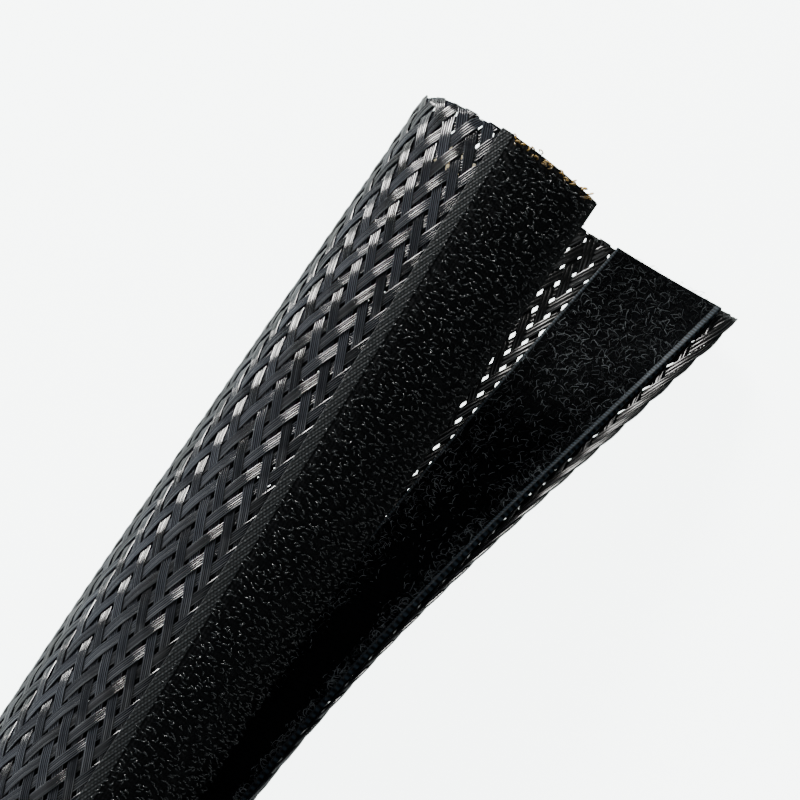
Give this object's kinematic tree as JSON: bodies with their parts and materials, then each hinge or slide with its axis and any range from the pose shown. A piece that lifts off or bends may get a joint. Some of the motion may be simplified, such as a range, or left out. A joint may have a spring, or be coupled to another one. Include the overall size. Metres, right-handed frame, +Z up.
{
  "type": "braided cable sleeve",
  "caption": "Open-sided braided cable sleeve: flat plastic braid curled into a tube, splayed at one end, with a hook tape outside one edge and a loop tape inside the other.",
  "frame": {"origin": "on the surface that the sleeve lies on, under the centre of its box", "axes": "+X along the length towards the splayed end, +Z up, the loop edge spreads towards -Y"},
  "size_m": [0.5, 0.0532, 0.0273],
  "materials": {
    "monofilament_braid": "satin",
    "hook_tape": "woven, with stiff hooks",
    "loop_tape": "woven, with soft loops"
  },
  "bodies": {
    "root": {"braided_sheet": "monofilament_braid", "hook_tape": "hook_tape", "loop_tape": "loop_tape"}
  },
  "joints": []
}
